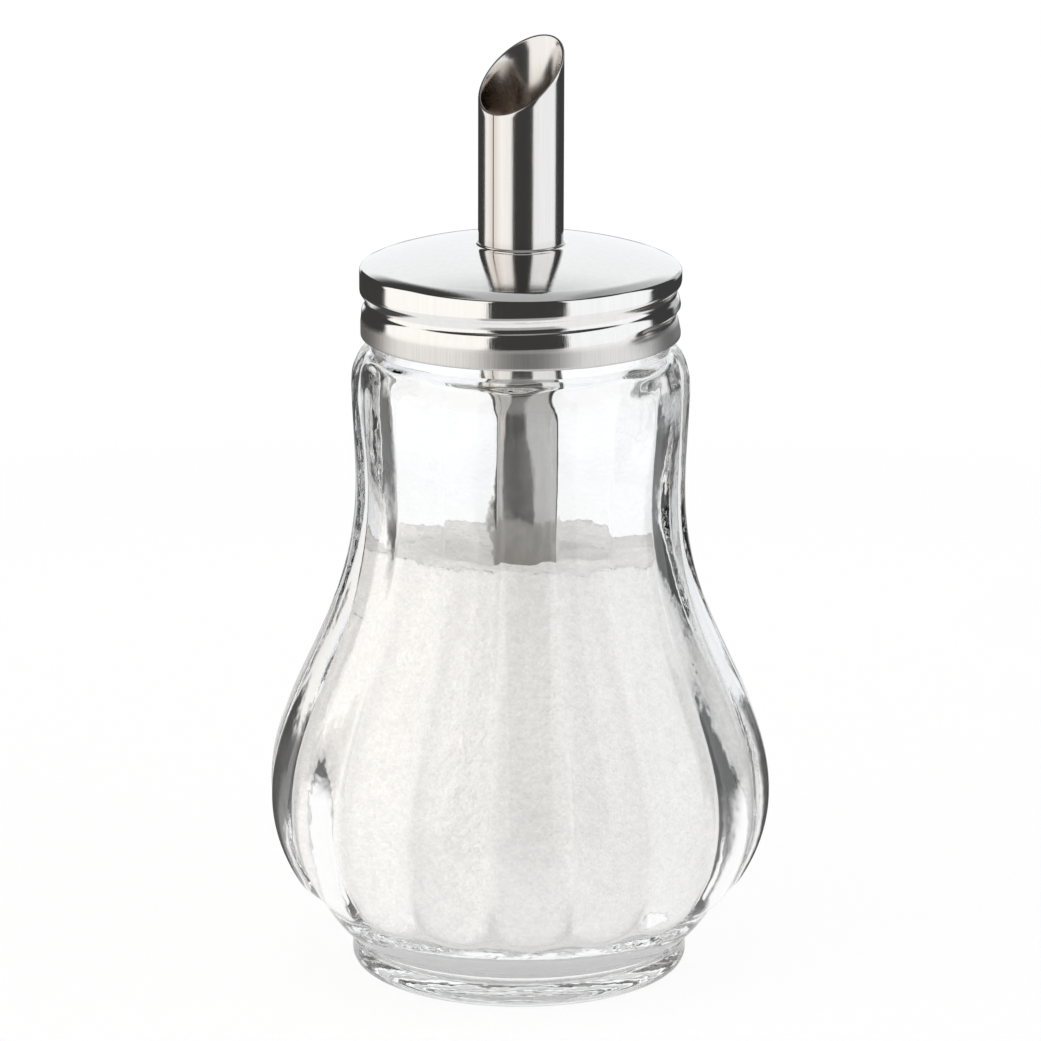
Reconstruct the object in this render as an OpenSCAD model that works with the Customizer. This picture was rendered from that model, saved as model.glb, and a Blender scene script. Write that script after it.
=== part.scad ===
// Sugar dispenser with flap: a ribbed glass jar under a steel screw cap. A rolled tube passes
// through the cap. Its slanted mouth pours, and a gravity flap inside it keeps the sugar covered.
// Frame: +Z up, origin at the centre of the foot's resting face, front towards -Y.

/* [Jar] */
// Diameter over the ribs at the widest point
jar_d = 77; // [70:0.5:86]
// Height of the widest point
belly_z = 28; // [24:0.5:32]
// Diameter of the waist below the shoulder
neck_d = 50.3; // [49:0.1:52]
// Height of the waist
neck_z = 76; // [70:0.5:80]
// Diameter of the shoulder
shoulder_d = 51.5; // [50:0.1:54]
// Height at which the shoulder starts to round over
shoulder_z = 92.4; // [90:0.1:94]
// Height of that rounding
shoulder_rise = 4.9; // [4:0.1:5.5]
// Height of the threaded finish, from where the shoulder starts to the lip
finish_h = 15.4; // [14:0.1:17]
// Outside diameter of the threaded finish
finish_d = 45.2; // [44:0.1:45.8]
// Diameter of the mouth
mouth_d = 40; // [36:0.5:40.5]
// Thickness of the glass wall under a rib
glass_wall = 3.5; // [3:0.1:4]
// Thickness of glass from the table to the jar's floor
floor_z = 5.8; // [4.8:0.1:7]
// Outside diameter of the foot ring
foot_d = 51.4; // [48:0.1:53]
// Height of the foot ring
foot_h = 4.4; // [3.6:0.1:5]
// Rounding of the foot's lower outer edge
foot_round = 2; // [1:0.1:2.4]
// Rise of the hollow under the foot
push_up = 2.4; // [1.2:0.1:3]
// Ribs round the jar
rib_count = 18; // [12:1:24]
// Depth of the creases between ribs at the widest point
rib_depth = 1.05; // [0.4:0.05:1.5]
// Height of the ribs' lower tips
rib_low_z = 11.2; // [9:0.1:14]
// Height of the ribs' upper tips above the start of the shoulder
rib_top_rise = 2.6; // [0:0.1:3.4]

/* [Cap] */
// Outside diameter over the cap's rolled beads
cap_d = 48.7; // [48.3:0.1:50]
// Height of the cap from its lower edge to the edge of its domed top
cap_h = 11.6; // [11:0.1:12.4]
// Width of the sloped rim round the domed top
rim_w = 2.3; // [1.6:0.1:3]
// Height by which that rim slopes down
rim_fall = 0.85; // [0.5:0.05:1.2]
// Rounding between the rim and the cap's wall
edge_round = 0.8; // [0.7:0.05:1]
// Rise of the domed top from its edge to the tube
dome_rise = 2.5; // [1.5:0.1:4]
// Thickness of the cap's sheet
cap_sheet = 0.5; // [0.4:0.05:0.6]
// Depth of the rolled thread groove
groove_depth = 0.8; // [0.3:0.05:0.9]
// Width of the rolled thread groove
groove_w = 4.2; // [3:0.1:4.6]
// Height of the groove's middle above the cap's lower edge
groove_rise = 6; // [5:0.1:7]
// Height of the lip that the cap turns up round the tube
collar_h = 0.4; // [0.3:0.1:1.5]

/* [Seal] */
// Thickness of the seal between lip and cap
seal_t = 1.5; // [0.8:0.1:1.6]
// Width by which the seal reaches inside the lip
seal_lap = 0.4; // [0:0.1:1]
// Free height over the seal at the edge of the cap's domed top
seal_room = 0.6; // [0.5:0.05:0.8]

/* [Tubes] */
// Outside diameter of the spout tube
spout_d = 12.9; // [12.4:0.1:14]
// Thickness of the tubes' sheet
tube_wall = 0.4; // [0.3:0.05:0.5]
// Length of the spout tube below the edge of the cap's domed top
spout_depth = 19.6; // [14:0.1:22]
// Height of the mouth's low side above that edge
spout_rise = 23; // [20:0.1:30]
// Slope of the mouth's cut
spout_cut = 39.4; // [30:0.1:45]
// Direction in which the mouth pours, measured from +X
pour_azimuth = 230; // [180:1:270]
// Width of the butt seam in the rolled tubes
seam_w = 0.16; // [0.1:0.02:0.3]
// Outside diameter of the dosing tube
dosing_d = 10.8; // [10:0.1:11]
// Gap between the dosing tube's lower tip and the jar's floor
dosing_lift = 4.6; // [3:0.1:14]
// Slope of the dosing tube's lower end
dosing_cut = 30; // [0:1:45]
// Outside diameter of the collar's flange under the cap
flange_d = 22; // [18:0.5:26]
// Length of the collar's sleeve on the tube
sleeve_h = 3.2; // [2:0.1:5]
// Thickness of the collar
flange_t = 0.6; // [0.4:0.05:0.8]

/* [Flap] */
// Depth of the flap's seat below the mouth's low side
flap_drop = 5; // [4.6:0.1:12]
// Thickness of the seat ring
seat_t = 0.5; // [0.3:0.05:0.8]
// Diameter of the opening in the seat ring
seat_bore = 8.6; // [7:0.1:9]
// Diameter of the flap
flap_d = 9.9; // [9.4:0.1:10]
// Thickness of the flap
flap_t = 0.4; // [0.3:0.05:0.6]
// Distance of the hinge pin from the tube's axis
hinge_offset = 4.4; // [4.2:0.05:4.5]
// Diameter of the hinge pin
pin_d = 0.9; // [0.7:0.05:1]
// Diameter of the eye that is rolled round the pin
eye_d = 1.8; // [1.6:0.1:1.9]
// Length of that eye
eye_w = 4.4; // [3:0.1:4.6]
// Thickness of the seat ring's two ears
ear_t = 0.5; // [0.3:0.05:0.6]

/* [Clearances] */
// Gap between pieces that are pressed or brazed together
fit_gap = 0.04; // [0.02:0.01:0.08]
// Gap between the flap and its seat, and between the eye and the ears
flap_gap = 0.05; // [0.03:0.01:0.1]
// Running clearance on the hinge pin's radius
pin_gap = 0.05; // [0.02:0.01:0.08]

/* [Hidden] */

jar_r = jar_d / 2;
neck_r = neck_d / 2;
shoulder_r = shoulder_d / 2;
finish_r = finish_d / 2;
mouth_r = mouth_d / 2;
foot_r = foot_d / 2;
// Thickness of the glass where the body leaves the foot, seen along the radius
foot_step = 0.7;
foot_top_round = 0.7;
lip_round = 0.9;
lip_z = shoulder_z + finish_h;
rib_top_z = shoulder_z + rib_top_rise;

// The cap stands on the seal, so its heights follow the jar's lip
cap_r = cap_d / 2;
skirt_r = cap_r - 0.15;
dome_edge_z = lip_z + seal_t + seal_room + cap_sheet;
cap_z = dome_edge_z - cap_h;
rim_r = cap_r - rim_w;
rim_angle = 55;
groove_z = cap_z + groove_rise;
hem_w = 0.9;
hem_h = 0.8;

spout_r = spout_d / 2;
spout_bore = spout_r - tube_wall;
spout_z = dome_edge_z - spout_depth;
spout_low_z = dome_edge_z + spout_rise;
dosing_r = dosing_d / 2;
dosing_z = floor_z + dosing_lift;
// The spout tube's lower end is rolled in with the radius turn, up to a lip that holds the dosing tube
lip_r = dosing_r + fit_gap;
lip_flat = 0.1;
turn = spout_r - lip_r - lip_flat;
mouth_rise = spout_d * tan(spout_cut);
collar_r = spout_r + fit_gap + cap_sheet;

seat_z = spout_low_z - flap_drop;
pin_z = seat_z + flap_gap + eye_d / 2;
ear_y = eye_w / 2 + flap_gap;

round_fn = 96;
fine_fn = 32;
rib_steps = 6;
overlap = 1;

// Point at s on the cubic curve through p's ends
function curve(p, s) =
    pow(1 - s, 3) * p[0] + 3 * s * pow(1 - s, 2) * p[1] + 3 * s * s * (1 - s) * p[2] + s * s * s * p[3];

// Points of a curve in n equal steps, from the step first on
function curve_points(p, n, first = 0) = [for (i = [first:n]) curve(p, i / n)];

// Points of an arc or of a quarter ellipse about c
function arc_points(c, rx, ry, from, to, n) =
    [for (i = [0:n]) let (a = from + (to - from) * i / n) c + [rx * cos(a), ry * sin(a)]];

// Smooth step from 0 to 1 as x goes from a to b
function ease(x, a, b) = let (t = min(1, max(0, (x - a) / (b - a)))) (1 - cos(180 * t)) / 2;

// The jar's outline over the ribs, as radius and height, in three curves from foot to shoulder
belly_curve = [[foot_r - foot_step, foot_h], [foot_r + 6.6, foot_h + 5.4],
               [jar_r, belly_z - 10], [jar_r, belly_z]];
waist_curve = [[jar_r, belly_z], [jar_r, belly_z + 16.5], [neck_r, neck_z - 22.7], [neck_r, neck_z]];
upper_curve = [[neck_r, neck_z], [neck_r, neck_z + 6], [shoulder_r, shoulder_z - 6],
               [shoulder_r, shoulder_z]];
shoulder_arc = arc_points([finish_r - 0.3, shoulder_z], shoulder_r - finish_r + 0.3, shoulder_rise,
                          0, 80, 7);
outline = concat(curve_points(belly_curve, 14), curve_points(waist_curve, 12, 1),
                 curve_points(upper_curve, 4, 1), [for (i = [1:7]) shoulder_arc[i]]);

// Crease depth at radius r and height z: it is faint at the narrow waist and fades out at the foot
function crease(r, z) = rib_depth * pow(r / jar_r, 3) * ease(z, foot_h, rib_low_z + 7);

// How far height z lies into the rounded tip of a rib, from 0 at its root to 1 at its end
function tip(z) = max((rib_low_z + 4.4 - z) / 4.4, (z - rib_top_z + 4.4) / 4.4, 0);

// Radius of the ribbed surface at height z and at u, from -1 to 1 across one rib
function ribbed(r, z, u) = r - crease(r, z) * (1 - max(0, 1 - u * u - pow(tip(z), 2)));

module glass_jar() {
    color([0.8, 0.88, 0.88, 0.45])
    difference() {
        union() {
            ribbed_body();
            rotate_extrude($fn = round_fn) foot_outline();
            translate([0, 0, shoulder_z]) rotate_extrude($fn = round_fn) finish_outline();
        }
        rotate_extrude($fn = round_fn) cavity_outline();
    }
}

// The body as one solid: rings of points follow the outline, with one parabola a rib
module ribbed_body() {
    around = rib_count * rib_steps;
    rings = len(outline);
    // The first crease stands 7.2 degrees to the left of the front
    first = -97.2;
    points = [for (p = outline, i = [0:around - 1])
        let (a = first + 360 * i / around, u = 2 * (i % rib_steps) / rib_steps - 1,
             r = ribbed(p[0], p[1], u))
        [r * cos(a), r * sin(a), p[1]]];
    sides = [for (j = [0:rings - 2], i = [0:around - 1])
        let (a = j * around + i, b = j * around + (i + 1) % around)
        each [[a, a + around, b], [b, a + around, b + around]]];
    bottom = [for (i = [0:around - 1]) i];
    top = [for (i = [around - 1:-1:0]) (rings - 1) * around + i];
    polyhedron(concat(points), concat([bottom, top], sides), convexity = 4);
}

// The foot ring and the base, with the hollow under it
module foot_outline() {
    hollow_r = foot_r - foot_round - 2.2;
    polygon(concat(
        [[0, floor_z + 0.6], [0, push_up]],
        [for (i = [1:6]) [hollow_r * sin(15 * i), push_up * cos(15 * i)]],
        arc_points([foot_r - foot_round, foot_round], foot_round, foot_round, -90, 0, 6),
        arc_points([foot_r - foot_top_round, foot_h - foot_top_round + 0.2],
                   foot_top_round, foot_top_round, 0, 90, 4),
        [[foot_r - 4, floor_z + 0.6]]));
}

// The finish that carries the thread, rounded at the lip
module finish_outline() {
    h = lip_z - shoulder_z;
    polygon(concat(
        [[mouth_r - 2, 0], [finish_r, 0]],
        arc_points([finish_r - lip_round, h - lip_round], lip_round, lip_round, 0, 90, 5),
        [[mouth_r - 2, h]]));
}

// The inside of the jar: floor, belly, waist and mouth, with a rounded lip
module cavity_outline() {
    belly = [[foot_r - 8.5, floor_z], [foot_r + 1.5, floor_z + 0.2],
             [jar_r - glass_wall, belly_z - 11.5], [jar_r - glass_wall, belly_z]];
    in = [-glass_wall, 0];
    waist = [for (p = waist_curve) p + in];
    upper = [for (p = upper_curve) p + in];
    throat = [[shoulder_r - glass_wall, shoulder_z], [shoulder_r - glass_wall, shoulder_z + 3],
              [mouth_r, shoulder_z + 3], [mouth_r, shoulder_z + 6.6]];
    polygon(concat(
        [[0, floor_z]], curve_points(belly, 12), curve_points(waist, 12, 1), curve_points(upper, 4, 1),
        curve_points(throat, 6, 1),
        arc_points([mouth_r + lip_round, lip_z - lip_round], lip_round, lip_round, 180, 90, 5),
        [[mouth_r + lip_round, lip_z + overlap], [0, lip_z + overlap]]));
}

module seal_ring() {
    color([0.9, 0.9, 0.87])
    translate([0, 0, lip_z])
    difference() {
        cylinder(r = finish_r + 0.2, h = seal_t, $fn = round_fn);
        translate([0, 0, -overlap])
            cylinder(r = mouth_r - seal_lap, h = seal_t + 2 * overlap, $fn = round_fn);
    }
}

// Height of the cap's top surface at radius r: it bends down from the tube to the rim
function dome_z(r) = let (t = (rim_r - r) / (rim_r - collar_r)) dome_edge_z + dome_rise * t * (2 - t);

// The outside of the cap from its lower edge to the rim, set in by the distance d. The groove has a
// steep upper side, a flat bottom with a step under it, and a long lower side
function cap_side(d) =
    let (half = groove_w / 2, low = cap_r - groove_depth - d, step = cap_r - 0.44 * groove_depth - d,
         round = edge_round - d)
    concat(
        [[skirt_r - d, cap_z], [skirt_r - d, groove_z - half - 0.3], [cap_r - d, groove_z - half]],
        [[step, groove_z - 0.3 * half], [low, groove_z - 0.1 * half], [low, groove_z + 0.4 * half]],
        [[cap_r - d, groove_z + half]],
        arc_points([cap_r - edge_round, dome_edge_z - rim_fall - edge_round * sin(rim_angle)],
                   round, round, 0, rim_angle, 5));

module cap_shell() {
    color([0.78, 0.78, 0.77])
    rotate_extrude($fn = round_fn) {
        steps = 8;
        top = [for (i = [0:steps]) rim_r + (collar_r - rim_r) * i / steps];
        bore = spout_r + fit_gap;
        polygon(concat(
            cap_side(0),
            [for (r = top) [r, dome_z(r)]],
            [[collar_r, dome_z(collar_r) + collar_h], [bore, dome_z(collar_r) + collar_h]],
            [[bore, dome_z(collar_r) - cap_sheet]],
            [for (i = [steps:-1:0]) [top[i], dome_z(top[i]) - cap_sheet]],
            let (side = cap_side(cap_sheet)) [for (i = [len(side) - 1:-1:1]) side[i]],
            [[skirt_r - cap_sheet, cap_z + hem_h], [skirt_r - hem_w, cap_z + hem_h],
             [skirt_r - hem_w, cap_z]]));
    }
}

module tube_collar() {
    bore = spout_r + fit_gap;
    under = cap_sheet + fit_gap;
    flange_r = flange_d / 2;
    sleeve_r = bore + flange_t;
    color([0.7, 0.7, 0.7])
    rotate_extrude($fn = round_fn)
        polygon([[bore, dome_z(flange_r) - under - sleeve_h],
                 [sleeve_r, dome_z(flange_r) - under - sleeve_h],
                 [sleeve_r, dome_z(sleeve_r) - under - flange_t],
                 [flange_r, dome_z(flange_r) - under - flange_t],
                 [flange_r, dome_z(flange_r) - under],
                 [sleeve_r, dome_z(sleeve_r) - under],
                 [bore, dome_z(sleeve_r) - under]]);
}

// Turns a piece so that its +X points away from the pouring side
module from_pour_side() {
    rotate([0, 0, pour_azimuth - 180]) children();
}

// The seam that the rolled sheet leaves along a tube of radius r, on the pouring side
module seam(r, low, high) {
    from_pour_side()
        translate([-r - overlap, -seam_w / 2, low - overlap])
            cube([overlap + seam_w, seam_w, high - low + 2 * overlap]);
}

// What lies above a plane that climbs at the angle slope from height z on the pouring side
module above_slope(r, z, slope) {
    from_pour_side()
        translate([-r, 0, z])
            rotate([0, -slope, 0])
                translate([-2 * r, -2 * r, 0])
                    cube([8 * r, 4 * r, 8 * r]);
}

module spout_tube() {
    outer = arc_points([spout_r - turn, spout_z + turn], turn, turn, -90, 0, 5);
    inner = arc_points([spout_r - turn, spout_z + turn], turn - tube_wall, turn - tube_wall, 0, -90, 5);
    top = spout_low_z + mouth_rise + overlap;
    color([0.82, 0.82, 0.81])
    difference() {
        rotate_extrude($fn = round_fn)
            polygon(concat([[lip_r, spout_z]], outer, [[spout_r, top], [spout_bore, top]], inner,
                           [[lip_r, spout_z + tube_wall]]));
        above_slope(spout_r, spout_low_z, spout_cut);
        seam(spout_r, spout_z + turn, top);
    }
}

module dosing_tube() {
    // The belled upper end hangs on the spout tube's lip
    flare_z = spout_z + tube_wall + fit_gap;
    flare_r = spout_bore - 0.1;
    bell_z = flare_z + turn - tube_wall;
    bore = dosing_r - tube_wall;
    color([0.75, 0.75, 0.74])
    difference() {
        rotate_extrude($fn = round_fn)
            polygon([[bore, dosing_z - overlap], [dosing_r, dosing_z - overlap],
                     [dosing_r, flare_z], [lip_r + 2 * lip_flat, flare_z], [flare_r, bell_z],
                     [flare_r, bell_z + tube_wall], [flare_r - tube_wall, bell_z + tube_wall],
                     [bore, flare_z]]);
        below_slope(dosing_r, dosing_z, dosing_cut);
        seam(dosing_r, dosing_z - overlap, spout_z - 2 * overlap);
    }
}

// What lies below a plane that climbs at the angle slope from height z on the pouring side
module below_slope(r, z, slope) {
    from_pour_side()
        translate([-r, 0, z])
            rotate([0, -slope, 0])
                translate([-2 * r, -2 * r, -8 * r])
                    cube([8 * r, 4 * r, 8 * r]);
}

module flap_seat() {
    ear_r = eye_d / 2;
    color([0.7, 0.7, 0.7])
    from_pour_side()
    difference() {
        union() {
            seat_disc(seat_t);
            intersection() {
                seat_disc(2 * eye_d);
                for (side = [-1, 1])
                    translate([hinge_offset, side * (ear_y + ear_t / 2), 0]) ear(ear_r);
            }
        }
        // The opening ends short of the hinge, so the flap's tongue covers it
        intersection() {
            translate([0, 0, seat_z - seat_t - overlap])
                cylinder(d = seat_bore, h = seat_t + 2 * overlap, $fn = round_fn);
            translate([-seat_bore, -seat_bore, seat_z - seat_t - overlap])
                cube([seat_bore + hinge_offset - 1.5, 2 * seat_bore, seat_t + 2 * overlap]);
        }
        translate([hinge_offset, 0, pin_z]) rotate([90, 0, 0])
            cylinder(d = pin_d + 2 * fit_gap, h = spout_d, center = true, $fn = fine_fn);
    }
}

// A disc of height h that fills the tube from the seat ring's underside up
module seat_disc(h) {
    translate([0, 0, seat_z - seat_t]) cylinder(r = spout_bore - fit_gap, h = h, $fn = round_fn);
}

// One ear of the seat ring: a rounded plate that carries an end of the pin
module ear(r) {
    translate([0, 0, pin_z]) rotate([90, 0, 0]) cylinder(r = r, h = ear_t, center = true, $fn = fine_fn);
    translate([-r, -ear_t / 2, seat_z - seat_t / 2]) cube([2 * r, ear_t, pin_z - seat_z + seat_t / 2]);
}

module flap_pin() {
    color([0.6, 0.6, 0.6])
    from_pour_side()
        translate([hinge_offset, 0, pin_z]) rotate([90, 0, 0])
            cylinder(d = pin_d, h = 2 * (ear_y + ear_t) + 0.2, center = true, $fn = fine_fn);
}

// The flap: a disc with a tongue whose end is rolled round the pin
module flap() {
    plate_z = seat_z + flap_gap;
    trim_x = hinge_offset - eye_d / 2 - 0.2;
    color([0.85, 0.85, 0.84])
    from_pour_side()
    difference() {
        union() {
            intersection() {
                translate([0, 0, plate_z]) cylinder(d = flap_d, h = flap_t, $fn = round_fn);
                translate([-flap_d, -flap_d, plate_z - overlap])
                    cube([flap_d + trim_x, 2 * flap_d, flap_t + 2 * overlap]);
            }
            translate([trim_x - 0.5, -eye_w / 2, plate_z])
                cube([hinge_offset - trim_x + 0.5, eye_w, flap_t]);
            translate([hinge_offset, 0, pin_z]) rotate([90, 0, 0])
                cylinder(d = eye_d, h = eye_w, center = true, $fn = fine_fn);
        }
        translate([hinge_offset, 0, pin_z]) rotate([90, 0, 0])
            cylinder(r = pin_d / 2 + pin_gap, h = 2 * eye_w, center = true, $fn = fine_fn);
    }
}

glass_jar();
seal_ring();
cap_shell();
tube_collar();
spout_tube();
dosing_tube();
flap_seat();
flap_pin();
flap();
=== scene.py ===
import math

import bpy
import numpy as np
from mathutils import Matrix, Vector, noise


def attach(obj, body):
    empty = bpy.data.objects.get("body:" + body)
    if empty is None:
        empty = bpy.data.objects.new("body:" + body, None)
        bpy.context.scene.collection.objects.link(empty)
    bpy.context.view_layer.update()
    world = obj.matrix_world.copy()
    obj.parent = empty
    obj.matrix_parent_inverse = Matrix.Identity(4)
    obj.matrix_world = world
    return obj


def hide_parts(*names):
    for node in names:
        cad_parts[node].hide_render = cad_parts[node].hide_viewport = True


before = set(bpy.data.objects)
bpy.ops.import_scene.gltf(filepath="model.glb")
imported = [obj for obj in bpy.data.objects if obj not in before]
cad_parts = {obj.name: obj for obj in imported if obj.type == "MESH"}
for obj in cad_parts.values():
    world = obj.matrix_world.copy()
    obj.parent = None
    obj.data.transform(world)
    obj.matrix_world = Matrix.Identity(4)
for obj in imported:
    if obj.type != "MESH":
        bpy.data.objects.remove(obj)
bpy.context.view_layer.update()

# The camera stands a little under a metre in front of the dispenser and looks down on it by about
# fifteen degrees, through a long lens. A slight roll and shift give the photograph's framing.
aim = Vector((0, 0, 0.070))
distance = 0.950
tilt = math.radians(14.76)
lens = bpy.data.cameras.new("camera")
lens.lens = 6239 / 1041 * 36
lens.shift_x, lens.shift_y = 0.0004, -0.0012
camera = bpy.data.objects.new("camera", lens)
bpy.context.collection.objects.link(camera)
camera.matrix_world = (Matrix.Translation(aim + distance * Vector((0, -math.cos(tilt), math.sin(tilt))))
                       @ Matrix.Rotation(math.pi / 2 - tilt, 4, "X")
                       @ Matrix.Rotation(math.radians(0.15), 4, "Z"))
bpy.context.scene.camera = camera
bpy.context.scene.view_settings.view_transform = "Standard"


# The light is a plain studio's: a large soft box on each side, a dark slot in front where the camera
# stands, a white backdrop behind and a grey ceiling. The world holds them, so they light softly.
class Wire:
    """An output of a node. Arithmetic on it adds Math nodes, and add() makes any other node."""

    def __init__(self, tree, socket=None):
        self.tree, self.socket = tree, socket

    def add(self, kind, settings={}, inputs={}, out=0):
        """A new node: its settings come first, then the values or links of its sockets"""
        node = self.tree.nodes.new("ShaderNode" + kind)
        for key, value in settings.items():
            if key == "stops":
                stops = node.color_ramp.elements
                for place, (at, colour) in enumerate(value):
                    stop = stops[place] if place < 2 else stops.new(at)
                    stop.position, stop.color = at, (*colour, 1)
            else:
                setattr(node, key, value)
        for key, value in inputs.items():
            if isinstance(value, Wire):
                self.tree.links.new(value.socket, node.inputs[key])
            else:
                node.inputs[key].default_value = value
        return Wire(self.tree, node.outputs[out] if node.outputs else None)

    def calc(self, operation, *terms):
        return self.add("Math", {"operation": operation}, dict(enumerate((self, *terms))))

    def part(self, axis):
        return self.add("SeparateXYZ", inputs={0: self}, out=axis)

    def step(self, low, high):
        """0 below low and 1 above high, smooth between"""
        return self.add("MapRange", {"interpolation_type": "SMOOTHSTEP"},
                        {"Value": self, "From Min": low, "From Max": high})

    def span(self, low, high, soft):
        """1 from low to high and 0 outside"""
        return self.step(low - soft, low + soft) * (1 - self.step(high - soft, high + soft))

    def __add__(self, other): return self.calc("ADD", other)
    def __sub__(self, other): return self.calc("SUBTRACT", other)
    def __mul__(self, other): return self.calc("MULTIPLY", other)
    def __radd__(self, other): return self + other
    def __rmul__(self, other): return self * other
    def __rsub__(self, other): return self * -1 + other


world = bpy.data.worlds.new("studio")
bpy.context.scene.world = world
world.use_nodes = True
world.node_tree.nodes.clear()
room = Wire(world.node_tree)
way = room.add("TexCoord")
turn = way.part(0).calc("ARCTAN2", way.part(1) * -1) * (180 / math.pi)
climb = way.part(2).calc("ARCSINE") * (180 / math.pi)
aside = turn.calc("ABSOLUTE")
left_box = turn.span(-113, -23, 1.5) * climb.span(-60, 46, 2.5)
right_box = turn.span(33, 106, 1.5) * climb.span(-60, 46, 2.5)
# Through the glass the backdrop shows down to the table. Steel mirrors only the cloth that hangs
# behind the table's far edge, with a dimmer fold of it on the right.
mirrored = room.add("LightPath", out="Is Glossy Ray")
mirrored = mirrored * (1 - room.add("LightPath", out="Is Transmission Ray"))
middle = aside.step(157, 163)
cloth = (middle + turn.step(139, 146) * (1 - middle) * 0.55) * climb.step(-11, -3)
backdrop = aside.step(140, 146) * (1 - mirrored) + cloth * mirrored
backdrop = backdrop * (1 - climb.step(30, 66) * 0.55)
ceiling = climb.step(58, 72) * 0.5
glow = 0.05 + left_box * 1.13 + right_box * 1.08 + backdrop
glow = glow.calc("MAXIMUM", ceiling)
cool = aside.step(150, 160).calc("MAXIMUM", turn.step(20, 40))
tint = room.add("MixRGB", inputs={0: cool, 1: (1, 0.975, 0.945, 1), 2: (0.965, 0.98, 1, 1)})
# Dull surfaces get the room's even light, so their colours come out as they are written
lamps = (turn.span(-80, -44, 4) * 1.1 + turn.span(50, 84, 4) * 0.65) * climb.span(-5, 50, 5)
even = 0.66 + left_box * 0.3 + right_box * 0.22 + lamps + climb.step(15, 40) * 0.27
dull = room.add("LightPath", out="Diffuse Depth").calc("MINIMUM", 1)
glow = glow * (1 - dull) + even * dull
to_camera = room.add("LightPath")
white = room.add("Background", inputs={"Color": (1, 1, 1, 1), "Strength": 1.0})
studio = room.add("Background", inputs={"Color": tint, "Strength": glow})
room.add("OutputWorld", inputs={
    "Surface": room.add("MixShader", inputs={0: to_camera, 1: studio, 2: white})})

# The table is a round white sheet, lit from within so far that it stays as white as the backdrop
# and yet keeps the dispenser's shadow. In steel and through glass its glow is painted dark at its
# sides, where no box lights it, painted dim in front, and dimmed under the jar as a painted shadow.
# It fades out at its edge.
table_r = 0.36


def new_material(name):
    material = bpy.data.materials.new(name)
    material.use_nodes = True
    material.node_tree.nodes.clear()
    return material, Wire(material.node_tree)


def skin(name, rings, material, closed=False, poles=(None, None)):
    """A smooth object through rings of points in millimetres, closed on itself or ending in poles"""
    count, around = rings.shape[:2]
    points = rings.reshape(-1, 3).tolist()
    here = np.arange(around)
    after = (here + 1) % around
    faces = []
    for j in range(count if closed else count - 1):
        a, b = j * around, (j + 1) % count * around
        faces += np.stack([a + here, a + after, b + after, b + here], 1).tolist()
    if poles[0] is not None:
        points.append(poles[0])
        faces += np.stack([np.full(around, len(points) - 1), after, here], 1).tolist()
    if poles[1] is not None:
        points.append(poles[1])
        last = (count - 1) * around
        faces += np.stack([np.full(around, len(points) - 1), last + here, last + after], 1).tolist()
    mesh = bpy.data.meshes.new(name)
    mesh.from_pydata((np.asarray(points, float) * 0.001).tolist(), [], faces)
    mesh.validate()
    mesh.polygons.foreach_set("use_smooth", [True] * len(mesh.polygons))
    mesh.materials.append(material)
    made = bpy.data.objects.new(name, mesh)
    bpy.context.collection.objects.link(made)
    return made


def turned(profile, around):
    """Rings of points round the axis from a list of radius and height"""
    angle = np.arange(around) * 2 * math.pi / around
    r, z = np.asarray(profile, float).T[:, :, None]
    return np.stack([r * np.cos(angle), r * np.sin(angle), z + 0 * angle], 2)


table_white, w = new_material("table_white")
shade = w.add("BsdfDiffuse", inputs={"Color": (0.97, 0.97, 0.97, 1)})
to_camera = w.add("LightPath")
spot = w.add("TexCoord", out=3)
reach = w.add("VectorMath", {"operation": "LENGTH"}, {0: spot}, out=1)
round_it = (spot.part(0).calc("ARCTAN2", spot.part(1) * -1) * (180 / math.pi)).calc("ABSOLUTE")
# Painted shade: for steel and glass the glow is darkened at the sides, where no box lights it, and in
# front
sides = round_it.span(114, 150, 6) * reach.step(0.038, 0.055)
front = (1 - round_it.step(24, 34)) * reach.step(0.09, 0.13)
unlit = sides.calc("MAXIMUM", front * 0.6) * (1 - to_camera)
# Painted shadow: for steel and glass the glow is dimmed under the jar, as the jar would shade it
under = (1 - reach.step(0.020, 0.042)) * (1 - to_camera)
lit = w.add("MixShader", inputs={
    0: (unlit * 0.93).calc("MAXIMUM", under * 0.45),
    1: w.add("Emission", inputs={"Color": (1, 1, 1, 1)}),
    2: w.add("Emission", inputs={"Color": (0, 0, 0, 1)})})
direct = (to_camera + w.add("LightPath", out="Is Glossy Ray")
          + w.add("LightPath", out="Is Transmission Ray"))
sheet = w.add("MixShader", inputs={
    0: direct.calc("MINIMUM", 1) * (unlit * 0.12 + 0.88), 1: shade, 2: lit})
clear = w.add("BsdfTransparent")
w.add("OutputMaterial", inputs={"Surface": w.add("MixShader", inputs={
    0: reach.step(table_r * 0.62, table_r * 0.98), 1: sheet, 2: clear})})
table = skin("table", turned([(r * 1000, -0.05) for r in np.linspace(0.005, table_r, 40)], 96),
             table_white, poles=((0, 0, -0.05), None))

# The jar is clear, heavy soda-lime glass with eighteen rounded ribs. It was blown in a ribbed mould,
# so its outside is crisp, and its inside is smooth and a little wavy.
jar_r, belly_z = 38.5, 28
neck_r, neck_z = 25.15, 76
shoulder_r, shoulder_z, shoulder_rise = 25.75, 92.4, 4.9
lip_z, finish_r, mouth_r = 107.8, 22.6, 20.0
glass_wall, floor_z, push_up = 3.5, 5.8, 2.4
foot_r, foot_h, foot_round = 25.7, 4.4, 2.0
ribs, rib_depth, rib_low_z, rib_top_z = 18, 1.05, 11.2, 95.0
low_tip, top_tip, heel_z = 3.4, 4.4, 20
lip_round, lip_points = 0.9, 9


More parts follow.
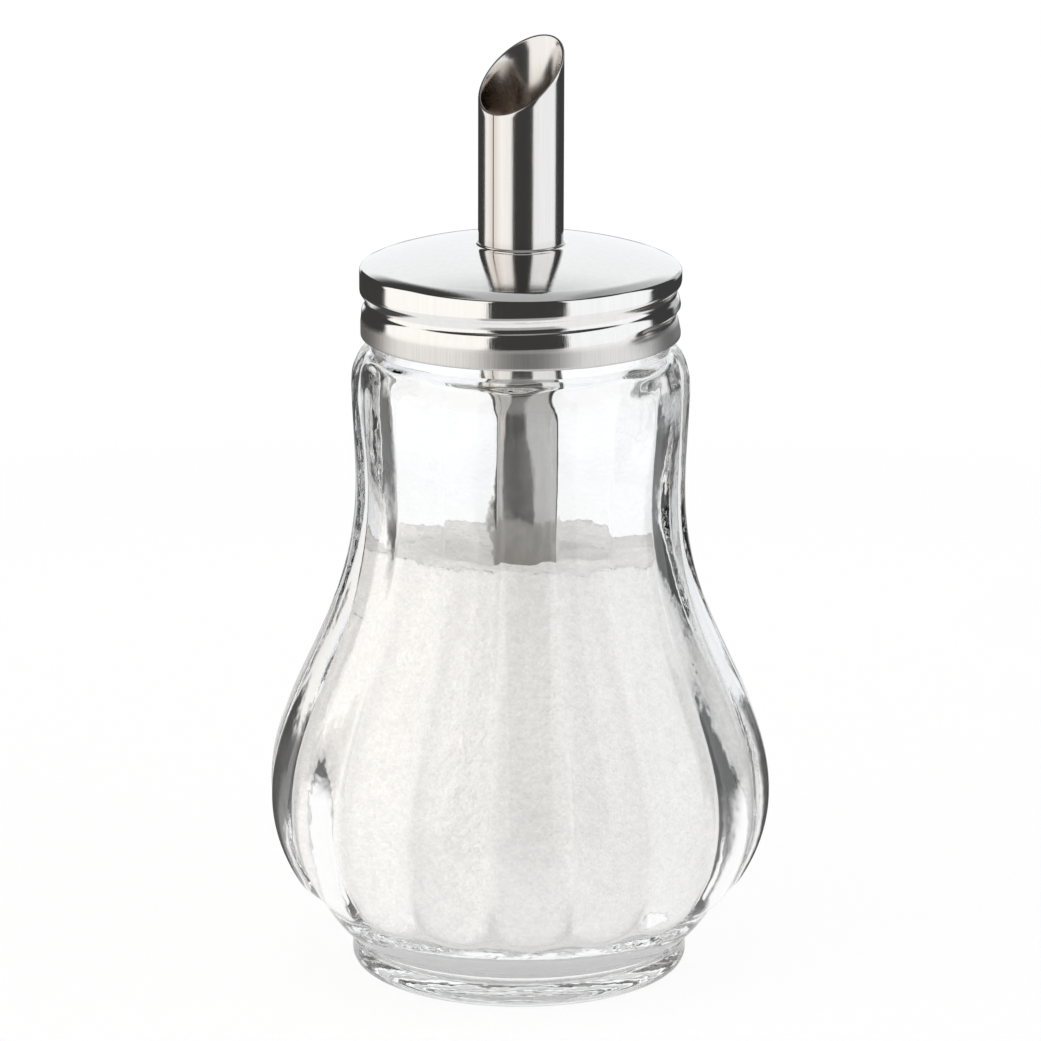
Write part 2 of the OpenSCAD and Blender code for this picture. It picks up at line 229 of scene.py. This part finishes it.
def curve(ends, s):
    """Points of a Bezier curve through four ends, at the shares s of its way"""
    p = np.asarray(ends, float)[:, None]
    s = np.asarray(s, float)[:, None]
    return (1 - s) ** 3 * p[0] + 3 * s * (1 - s) ** 2 * p[1] + 3 * s * s * (1 - s) * p[2] + s ** 3 * p[3]


def arc(centre, rx, rz, start, end, count):
    """Points of an elliptic arc between two angles in degrees"""
    angle = np.radians(np.linspace(start, end, count))
    return np.stack([centre[0] + rx * np.cos(angle), centre[1] + rz * np.sin(angle)], 1)


belly = [(foot_r - 0.7, foot_h), (foot_r + 6.6, foot_h + 5.4), (jar_r, belly_z - 10), (jar_r, belly_z)]
waist = [(jar_r, belly_z), (jar_r, belly_z + 16.5), (neck_r, neck_z - 22.7), (neck_r, neck_z)]
upper = [(neck_r, neck_z), (neck_r, neck_z + 6), (shoulder_r, shoulder_z - 6), (shoulder_r, shoulder_z)]
body = np.concatenate([curve(belly, np.linspace(0.06, 1, 56)), curve(waist, np.linspace(0, 1, 90)[1:]),
                       curve(upper, np.linspace(0, 1, 30)[1:]),
                       arc((finish_r - 0.3, shoulder_z), shoulder_r - finish_r + 0.3, shoulder_rise,
                           0, 80, 22)[1:]])
hollow_r = foot_r - foot_round - 2.2
foot = np.concatenate([
    [(hollow_r * math.sin(a), push_up * math.cos(a)) for a in np.radians(np.linspace(6, 90, 18))],
    [(hollow_r + 0.15, 0), (foot_r - foot_round - 0.15, 0)],
    arc((foot_r - foot_round, foot_round), foot_round, foot_round, -90, 0, 14),
    arc((foot_r - 0.7, foot_h - 0.5), 0.7, 0.7, 0, 66, 9)])
finish = np.concatenate([
    [(finish_r + 0.08, 97.33), (finish_r, 97.5)],
    [(finish_r, z) for z in np.arange(97.75, lip_z - lip_round - 0.1, 0.22)],
    arc((finish_r - lip_round, lip_z - lip_round), lip_round, lip_round, 0, 90, lip_points),
    arc((mouth_r + lip_round, lip_z - lip_round), lip_round, lip_round, 90, 180, lip_points)])
inset = np.array([glass_wall, 0])
wall_r = shoulder_r - glass_wall
throat = np.concatenate([
    curve([(wall_r, shoulder_z), (wall_r, 94.1), (wall_r, 94.8), (wall_r - 0.35, 95.0)],
          np.linspace(0, 1, 12)),
    curve([(wall_r - 0.35, 95.0), (mouth_r + 0.5, 95.75), (mouth_r, 95.9), (mouth_r, 97.8)],
          np.linspace(0, 1, 16))[1:],
    [(mouth_r, 99.0)]])
pit = [(foot_r - 8.5, floor_z), (foot_r + 1.5, floor_z + 0.2), (jar_r - glass_wall, belly_z - 11.5),
       (jar_r - glass_wall, belly_z)]
cavity = np.concatenate([
    [(r, floor_z) for r in np.linspace(2, foot_r - 9.3, 9)],
    curve(pit, np.linspace(0, 1, 48)), (curve(waist, np.linspace(0, 1, 70)) - inset)[1:],
    (curve(upper, np.linspace(0, 1, 22)) - inset)[1:], throat[1:]])
outline = np.concatenate([foot, body, finish, cavity[::-1]])

# The first crease lies a little left of the front
rib_points = 24
around = ribs * rib_points
turn_of = -97.2 + np.arange(around) * 360 / around
across = 2 * (np.arange(around) % rib_points) / rib_points - 1
ring_r = np.repeat(outline[:, :1], around, 1)
ring_z = np.repeat(outline[:, 1:], around, 1)

# Ribs: the creases between them grow from the foot and are deepest at the heel, and each rib ends
# in a rounded tip below and above
on_body = slice(len(foot), len(foot) + len(body))
r, z = ring_r[on_body], ring_z[on_body]
grow = np.clip((z - foot_h) / (rib_low_z + 1.5 - foot_h), 0, 1)
tip = np.maximum(np.maximum((rib_low_z + low_tip - z) / low_tip, (z - rib_top_z + top_tip) / top_tip), 0)
bulge = np.maximum(0, 1 - across ** 2 - tip ** 2)
bulge = np.sqrt(bulge ** 2 + 0.08 ** 2) - 0.08 * (1 - bulge)
crease = rib_depth * (1 + 0.6 * np.clip((heel_z - z) / 6, 0, 1))
crease = crease * (r / jar_r) ** np.where(z < belly_z, 1, 3)
ring_r[on_body] = r - crease * (1 - np.cos(math.pi * grow)) / 2 * (1 - bulge)

# Screw thread: one and a half turns of a rounded bead climb to the right round the finish
pitch, thread_z = 3.4, 102.65
thread_h, thread_half = 0.85, 1.15
start_finish = len(foot) + len(body)
on_finish = slice(start_finish, start_finish + len(finish) - 2 * lip_points)
front_turn = (turn_of + 90 + 180) % 360 - 180
for lap in (-360, 0, 360):
    far = front_turn + lap
    fade = np.clip((far + 330) / 22, 0, 1) * np.clip((255 - far) / 22, 0, 1)
    near = np.clip(1 - np.abs(ring_z[on_finish] - thread_z - pitch * far / 360) / thread_half, 0, 1)
    ring_r[on_finish] += thread_h * np.sin(math.pi / 2 * near) ** 2 * fade

# The inside is smooth, but the glass settled unevenly
in_jar = slice(len(outline) - len(cavity), len(outline))
swell = np.clip((ring_z[in_jar] - 8) / 10, 0, 1) * np.clip((99 - ring_z[in_jar]) / 6, 0, 1)
a = np.radians(turn_of)
ring_r[in_jar] += swell * (0.10 * np.sin(5 * a + ring_z[in_jar] / 6.1)
                           + 0.07 * np.sin(9 * a - ring_z[in_jar] / 4.3)
                           + 0.05 * np.sin(14 * a + 1.7 + ring_z[in_jar] / 9.0))
ledge = np.clip(1 - np.abs(ring_z[in_jar] - 95.6) / 2.4, 0, 1)
ring_z[in_jar] += ledge * (0.34 * np.sin(5 * a + 0.6) + 0.12 * np.sin(13 * a))
rings = np.stack([ring_r * np.cos(a), ring_r * np.sin(a), ring_z], 2)

clear_glass, w = new_material("clear_glass")
spot = w.add("TexCoord", out=3)
ripple = w.add("TexNoise", {}, {"Vector": spot, "Scale": 70.0, "Detail": 2.0, "Roughness": 0.45})
drawn = w.add("TexNoise", {}, {
    "Vector": w.add("Mapping", {}, {"Vector": spot, "Scale": (1, 1, 0.25)}),
    "Scale": 190.0, "Detail": 1.0})
wrinkle = w.add("TexNoise", {}, {"Vector": spot, "Scale": 300.0, "Detail": 2.0})
uneven = w.add("Bump", {}, {
    "Strength": 0.2, "Distance": 0.0006, "Height": ripple + drawn * 0.4 + wrinkle * 0.32})
w.add("OutputMaterial", inputs={"Surface": w.add("BsdfPrincipled", inputs={
    "Base Color": (0.992, 0.996, 0.994, 1), "Roughness": 0.0, "IOR": 1.52, "Transmission Weight": 1.0,
    "Normal": uneven})})
# Light that has met the dull sugar passes the glass as sharply as before, and it may bounce in the
# thick foot until it finds its way out
cycles = bpy.context.scene.cycles
cycles.blur_glossy = 0
cycles.max_bounces = cycles.transmission_bounces = cycles.glossy_bounces = 32
jar = skin("ribbed_glass_jar", rings, clear_glass, poles=((0, 0, push_up), (0, 0, floor_z)))
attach(jar, "jar")
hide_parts("glass_jar")

# The sugar is loose white table sugar. It fills the jar to well above the belly and heaps up a
# little against the glass, round the dosing tube that stands in it.
fill_z, gap = 64.0, 0.25
tube_hole = 5.55
room_for_it = np.concatenate([curve(pit, np.linspace(0, 1, 56)),
                              curve(waist, np.linspace(0, 1, 170))[1:] - inset])
side = room_for_it[room_for_it[:, 1] < fill_z - 0.4]
bed = [(r, floor_z + gap) for r in np.linspace(1, foot_r - 9.3, 10)]
top_r = side[-1][0]
crown = [(r, fill_z) for r in np.linspace(top_r, tube_hole + 0.3, 54)]
well = [(tube_hole, z) for z in np.linspace(fill_z - 0.5, 10.0, 40)]
under = [(r, 9.6) for r in np.linspace(tube_hole - 0.4, 0.6, 5)]
around = 480
sugar_rings = turned(np.concatenate([bed, side, crown, well, under]), around)
first_crown = len(bed) + len(side)
for j in range(len(bed), first_crown + len(crown) + 1):
    for i in range(around):
        x, y, z = sugar_rings[j, i]
        # The bed was shaken to the front, and its top is lumpy and sinks in round the tube
        share = min(1, max(0, (z - 36) / (fill_z - 36)))
        lump = 1.1 * noise.noise((x / 9, y / 9, 3))
        if j >= first_crown - 30:
            lump += 0.9 * noise.noise((x / 3.6, y / 3.6, 5))
        z += share * (2.0 - 0.08 * y - 0.02 * x + lump)
        if j >= first_crown:
            z += 0.4 * noise.noise((x / 1.5, y / 1.5, 1)) + 0.2 * noise.noise((x / 0.6, y / 0.6, 2))
            z -= 3.4 * math.exp(-((math.hypot(x, y) - 5.5) / 7) ** 2)
        # Grains lie against the glass, some a little off it
        wall = np.interp(max(z, floor_z + gap), room_for_it[:, 1], room_for_it[:, 0]) - 0.42
        wall -= 0.22 * (noise.noise((x / 1.1, y / 1.1, z / 1.1)) + 0.6)
        wall -= 0.13 * noise.noise((x / 0.5, y / 0.5, z / 0.5))
        squeeze = min(1, wall / math.hypot(x, y))
        sugar_rings[j, i] = x * squeeze, y * squeeze, max(z, floor_z + gap)

sugar_white, w = new_material("sugar_white")
spot = w.add("TexCoord", out=3)
cell = {"Vector": spot, "Scale": 2500.0}
facet = w.add("TexVoronoi", {}, cell, out=0)
tone = w.add("SeparateColor", inputs={0: w.add("TexVoronoi", {}, cell, out=1)})
drift = w.add("TexNoise", {}, {"Vector": spot, "Scale": 330.0, "Detail": 5.0, "Roughness": 0.65})
colour = w.add("ValToRGB", {"stops": [(0.2, (0.855, 0.841, 0.835)), (0.8, (0.975, 0.961, 0.952))]},
               {0: tone * 0.45 + drift * 0.55})
rough = w.add("Bump", {}, {"Strength": 0.5, "Distance": 0.0003, "Height": 1 - facet})
w.add("OutputMaterial", inputs={"Surface": w.add("BsdfPrincipled", inputs={
    "Base Color": colour, "Roughness": 0.62, "IOR": 1.5, "Specular IOR Level": 0.35, "Normal": rough})})
sugar = skin("sugar", sugar_rings, sugar_white, poles=((0, 0, floor_z + gap), (0, 0, 9.6)))
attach(sugar, "jar")

# The seal is a flat ring of soft white rubber, cut from sheet and laid under the cap. It carries
# a faint grain from the sheet and is left as the solid gives it.
seal_rubber, w = new_material("seal_rubber")
spot = w.add("TexCoord", out=3)
grit = w.add("TexNoise", {}, {"Vector": spot, "Scale": 2400.0, "Detail": 2.0})
cloud = w.add("TexNoise", {}, {"Vector": spot, "Scale": 160.0, "Detail": 2.0})
colour = w.add("ValToRGB", {"stops": [(0.3, (0.80, 0.79, 0.74)), (0.7, (0.88, 0.87, 0.83))]}, {0: cloud})
w.add("OutputMaterial", inputs={"Surface": w.add("BsdfPrincipled", inputs={
    "Base Color": colour, "Roughness": grit * 0.2 + 0.5, "Specular IOR Level": 0.3,
    "Normal": w.add("Bump", {}, {"Strength": 0.3, "Distance": 0.0001, "Height": grit})})})
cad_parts["seal_ring"].material_slots[0].material = seal_rubber

# The cap is spun from stainless sheet. Its domed top is polished, a thread is rolled into its side,
# its lower edge is hemmed, and the skirt between them keeps the upright marks of the brush.
cap_r, skirt_r, cap_sheet = 24.35, 24.2, 0.5
cap_z, dome_edge_z, dome_rise, rim_r = 98.8, 110.4, 2.5, 22.05
rim_fall, edge_round, rim_angle = 0.85, 0.8, 55
tube_r, tube_wall, snug = 6.45, 0.4, 0.04
bore = tube_r + snug
fillet = 0.45
groove_front_z = 104.35


def steel(name, base, polish, streak, lengthwise=(1, 1, 0.02), stain_and_shade=None, turning=0.0, depth=0.07):
    """Stainless steel with fine streaks along its brushing. Its polish is a roughness, or gives one
    over the surface, and a stain or painted shade gives a share and a colour"""
    material, w = new_material(name)
    spot = w.add("TexCoord", out=3)
    run = w.add("Mapping", {}, {"Vector": spot, "Scale": lengthwise})
    fine = w.add("TexNoise", {}, {"Vector": run, "Scale": 5200.0, "Detail": 3.0, "Roughness": 0.6})
    broad = w.add("TexNoise", {}, {"Vector": run, "Scale": 900.0, "Detail": 2.0})
    smear = w.add("TexNoise", {}, {"Vector": spot, "Scale": 90.0, "Detail": 2.0})
    worn = polish(w, spot) if callable(polish) else polish
    dark = [channel * (1 - depth) for channel in base]
    colour = w.add("ValToRGB", {"stops": [(0.3, dark), (0.7, base)]}, {0: fine * 0.5 + broad * 0.5})
    if stain_and_shade:
        share, shade = stain_and_shade(w, spot, fine)
        colour = w.add("MixRGB", inputs={0: share, 1: colour, 2: (*shade, 1)})
    w.add("OutputMaterial", inputs={"Surface": w.add("BsdfPrincipled", inputs={
        "Base Color": colour, "Metallic": 1.0, "Anisotropic": turning,
        "Roughness": worn + (fine * 0.5 + smear * 0.5 - 0.5) * streak,
        "Normal": w.add("Bump", {}, {
            "Strength": 0.12, "Distance": 0.00004, "Height": fine + broad * 0.3})})})
    return material


def groove(s):
    """Depth of the rolled groove at the height s over its step"""
    at = np.arange(-3, 3.6, 0.02)
    depth = np.interp(at, [-2.15, -1.9, -1.3, -0.5, -0.2, 0.15, 0.5, 1.0, 1.5, 2.1, 2.5],
                      [0, 0.06, 0.18, 0.33, 0.46, 0.80, 0.85, 0.78, 0.50, 0.07, 0])
    bell = np.exp(-(np.arange(-15, 16) * 0.02 / 0.1) ** 2 / 2)
    return np.interp(s, at, np.convolve(depth, bell / bell.sum(), "same"))


def dome_z(r):
    """Height of the domed top at the radius r"""
    lip = bore + cap_sheet
    t = (rim_r - r) / (rim_r - lip)
    return dome_edge_z + dome_rise * (t + t * (1 - t))


corner = (cap_r - edge_round, dome_edge_z - rim_fall - edge_round * math.sin(math.radians(rim_angle)))
wall_z = np.arange(cap_z + 0.5, corner[1], 0.11)
wall = [(skirt_r + (cap_r - skirt_r) * min(1, max(0, (z - 101.5) / 1.6)), z) for z in wall_z]
hem = arc((skirt_r - 0.45, cap_z + 0.45), 0.45, 0.45, -180, 0, 13)
edge = arc(corner, edge_round, edge_round, 0, rim_angle, 12)
rim = [(rim_r + (edge[-1][0] - rim_r) * t, dome_edge_z - rim_fall * t ** 1.15)
       for t in np.linspace(0.97, 0.03, 12)]
dome = [(r, dome_z(r)) for r in np.linspace(rim_r - 0.06, bore + cap_sheet + 0.5, 40)]
lip_top = dome_z(bore + cap_sheet) + 0.4
lip = curve([dome[-1], (bore + cap_sheet + 0.15, dome[-1][1] + 0.04), (bore + 0.28, lip_top - 0.3),
             (bore + 0.2, lip_top - 0.06)], np.linspace(0, 1, 12))[1:]
crest = [(bore + 0.1, lip_top), (bore, lip_top - 0.06), (bore, dome_z(bore + cap_sheet) - cap_sheet)]
roof = [(r, dome_z(r) - cap_sheet) for r in np.linspace(bore + 0.7, rim_r, 24)]
inner_edge = arc(corner, edge_round - cap_sheet, edge_round - cap_sheet, rim_angle, 0, 5)
inner_wall = [(r - cap_sheet, z) for r, z in wall[::-3]]
tuck = [(skirt_r - 0.55, cap_z + 0.95), (skirt_r - 0.85, cap_z + 0.85), (skirt_r - 0.9, cap_z + 0.6)]
outline = np.concatenate([hem, wall, edge, rim, dome, lip, crest, roof, inner_edge, inner_wall, tuck])
around = 480
rings = turned(outline, around)
front_turn = (np.arange(around) * 360 / around + 90 + 180) % 360 - 180
turn_z = rings[:, :, 2]
deep = 0 * turn_z
for lap in (-360, 0, 360):
    far = front_turn + lap
    start, stop = np.clip((far + 322) / 16, 0, 1), np.clip((205 - far) / 40, 0, 1)
    fade = start * start * (3 - 2 * start) * stop * stop * (3 - 2 * stop)
    deep = np.maximum(deep, fade * groove(turn_z - groove_front_z - pitch * far / 360))
on_side = np.zeros(len(outline), bool)
on_side[len(hem):len(hem) + len(wall) + 4] = True
start_inner = len(outline) - len(tuck) - len(inner_wall)
on_side[start_inner:start_inner + len(inner_wall)] = True
a = np.radians(np.arange(around) * 360 / around)
rings[:, :, 0] -= np.where(on_side[:, None], deep, 0) * np.cos(a)
rings[:, :, 1] -= np.where(on_side[:, None], deep, 0) * np.sin(a)


def cap_polish(w, spot):
    """The dome is bright, the bead a little less, and the skirt below the thread is brushed"""
    height = spot.part(2)
    bead, skirt = 1 - height.step(0.1075, 0.1098), 1 - height.step(0.1012, 0.1026)
    return 0.05 + bead * 0.04 + skirt * 0.30


def cap_hatch(w, spot, fine):
    """The brush has left the skirt darker, in upright strokes"""
    skirt = 1 - spot.part(2).step(0.1010, 0.1026)
    return skirt * (0.3 + (fine - 0.5) * 0.9), (0.50, 0.475, 0.45)


cap_steel = steel("cap_steel", (0.86, 0.85, 0.835), cap_polish, 0.05, stain_and_shade=cap_hatch)
cap = skin("threaded_cap", rings, cap_steel, closed=True)
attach(cap, "cap")
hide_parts("cap_shell")

# The collar under the cap is a plain pressed ring that is brazed to the tube and holds it upright.
# Nobody sees it while the cap is on, so it keeps its dull finish and its heat tint.
dull_steel = steel("dull_steel", (0.62, 0.60, 0.57), 0.34, 0.12, lengthwise=(1, 1, 0.3))
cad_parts["tube_collar"].material_slots[0].material = dull_steel

# The spout is a tube rolled from strip with a butt seam on its pouring side. Its mouth is cut at a
# slant and the edge dressed smooth. Its lower end is rolled in round the dosing tube.
pour = math.radians(230)
spout_z, spout_low_z, spout_cut, dosing_r = 90.8, 133.4, math.radians(39.4), 5.4
seam_w, seam_depth = 0.16, 0.14
lip_r = dosing_r + snug
roll = tube_r - lip_r - 0.1


def seam_angles(count, r):
    """Angles round a tube from its seam, closer together at the seam, and 1 where they are in it"""
    edge = seam_w / 2 / r
    near = np.array([-2.2, -1.25, -1.0, -0.8, 0.8, 1.0, 1.25, 2.2]) * edge
    wide = np.linspace(3.5 * edge, 2 * math.pi - 3.5 * edge, count)
    return np.concatenate([near, wide]) + pour, np.concatenate([[0, 0, 0, 1, 1, 0, 0, 0], 0 * wide])


def tube(name, outer, inner, cut_z, material):
    """A tube wall with a seam. Outer and inner run upwards as lists of radius, height, and the share
    of the slanted cut's height that is added there"""
    angle, in_seam = seam_angles(150, outer[len(outer) // 2][0])
    rows = []
    for face, run in (("out", outer), ("in", inner[::-1])):
        for r, low, share in run:
            z = low + share * cut_z(r, angle)
            cut = seam_depth * in_seam if face == "out" and share > 0 else 0 * in_seam
            rows.append(np.stack([(r - cut) * np.cos(angle), (r - cut) * np.sin(angle), z], 1))
    return skin(name, np.array(rows), material, closed=True)


def mouth_z(r, angle):
    """Height of the slanted cut over the pouring side's low point"""
    return (tube_r - r * np.cos(angle - pour)) * math.tan(spout_cut)


steps = np.linspace(0, 1, 60)
outer = [(r, z, 0) for r, z in arc((tube_r - roll, spout_z + roll), roll, roll, -90, 0, 9)]
outer += [(tube_r, spout_z + roll + (spout_low_z - spout_z - roll) * t, t) for t in steps[1:-1]]
outer += [(tube_r, spout_low_z - 0.12, 1), (tube_r - 0.04, spout_low_z - 0.04, 1),
          (tube_r - 0.12, spout_low_z, 1)]
spout_bore = tube_r - tube_wall
inner = [(lip_r, spout_z + tube_wall - 0.05, 0)]
inner += [(r, z, 0) for r, z in arc((tube_r - roll, spout_z + roll),
                                    roll - tube_wall, roll - tube_wall, -90, 0, 7)]
inner += [(spout_bore, spout_z + roll + (spout_low_z - spout_z - roll) * t, t) for t in steps[1:-1:2]]
inner += [(spout_bore, spout_low_z - 0.12, 1), (spout_bore + 0.04, spout_low_z - 0.04, 1),
          (spout_bore + 0.12, spout_low_z, 1)]


def inner_face(w, spot):
    """1 on the spout's inner face and 0 on its outer face"""
    from_axis = w.add("VectorMath", {"operation": "LENGTH"}, {
        0: w.add("Mapping", {}, {"Vector": spot, "Scale": (1, 1, 0)})}, out=1)
    return 1 - from_axis.step(0.00615, 0.00635)


def tube_polish(w, spot):
    """The outside is polished, and the inside keeps the strip's satin surface"""
    return 0.14 + inner_face(w, spot) * 0.03


def seam_tint_and_inner_shade(w, spot, fine):
    """Brown heat tint along the seam, and painted shade, duller and browner, on the inside further down
    """
    x, y = spot.part(0), spot.part(1)
    off = (x * -math.sin(pour) + y * math.cos(pour)).calc("ABSOLUTE")
    near = (1 - off.step(0.0001, 0.0016)) * (x * math.cos(pour) + y * math.sin(pour)).step(0, 0.002)
    # Painted shade: the tube's inside is darkened and browned further down, deep in the tube
    inside = inner_face(w, spot) * (1 - spot.part(2).step(0.134, 0.141))
    return (near * (0.35 + fine * 0.4)).calc("MAXIMUM", inside * 0.55), (0.50, 0.44, 0.39)


# Besides the seam's heat tint, the spout carries painted shade on its inside further down
tube_steel = steel("tube_steel", (0.81, 0.795, 0.78), tube_polish, 0.07, stain_and_shade=seam_tint_and_inner_shade,
                   turning=0.35, depth=0.12)
spout = tube("spout_tube_shell", [(lip_r, spout_z + 0.05, 0)] + outer, inner, mouth_z, tube_steel)
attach(spout, "cap")
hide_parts("spout_tube")

# The dosing tube hangs in the rolled-in end by its belled top and reaches almost to the jar's
# floor. It is rolled like the spout, and its foot is cut at a slant so that sugar can run in.
dosing_z, dosing_cut = 10.4, math.radians(30)
bell_z = spout_z + tube_wall + snug
flare_r = tube_r - tube_wall - 0.1
bell_top = bell_z + roll


def foot_z(r, angle):
    """Height of the slanted cut over the dosing tube's lowest point"""
    return (dosing_r - r * np.cos(angle - pour)) * math.tan(dosing_cut)


low_run = np.linspace(0, 1, 50)
outer = [(dosing_r - 0.1, dosing_z, 1), (dosing_r - 0.02, dosing_z + 0.05, 1)]
outer += [(dosing_r, dosing_z + 0.12 + (bell_z - 0.3 - dosing_z - 0.12) * t, 1 - t) for t in low_run]
outer += [(dosing_r + 0.01, bell_z - 0.05, 0), (dosing_r + 0.15, bell_z + 0.02, 0),
          (lip_r + 0.2, bell_z + 0.06, 0), (flare_r - 0.02, bell_top - 0.42, 0),
          (flare_r, bell_top - 0.2, 0), (flare_r, bell_top - 0.05, 0), (flare_r - 0.05, bell_top, 0)]
bore_r = dosing_r - tube_wall
inner = [(bore_r + 0.1, dosing_z, 1), (bore_r + 0.02, dosing_z + 0.05, 1)]
inner += [(bore_r, dosing_z + 0.12 + (bell_z - 0.3 - dosing_z - 0.12) * t, 1 - t) for t in low_run[::2]]
inner += [(bore_r + 0.03, bell_z - 0.1, 0), (bore_r + 0.2, bell_z + 0.15, 0),
          (flare_r - tube_wall - 0.02, bell_top - 0.25, 0), (flare_r - tube_wall, bell_top - 0.05, 0),
          (flare_r - tube_wall + 0.05, bell_top, 0)]
dosing_steel = steel("dosing_steel", (0.50, 0.49, 0.475), 0.14, 0.08, turning=0.3)
dosing = tube("dosing_tube_shell", outer, inner, foot_z, dosing_steel)
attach(dosing, "cap")
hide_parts("dosing_tube")

# The flap is a stamped disc whose tongue is curled round a pin. The pin sits in two ears of a ring
# that is pressed into the spout below its mouth. All three stay tumbled bright.
flap_steel = steel("flap_steel", (0.78, 0.77, 0.75), 0.16, 0.1, lengthwise=(1, 0.05, 1))
seat_steel = steel("seat_steel", (0.68, 0.665, 0.64), 0.24, 0.1, lengthwise=(0.4, 0.4, 0.4))
pin_steel = steel("pin_steel", (0.72, 0.71, 0.69), 0.12, 0.05, lengthwise=(1, 1, 1))
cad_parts["flap"].material_slots[0].material = flap_steel
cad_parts["flap_seat"].material_slots[0].material = seat_steel
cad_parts["flap_pin"].material_slots[0].material = pin_steel
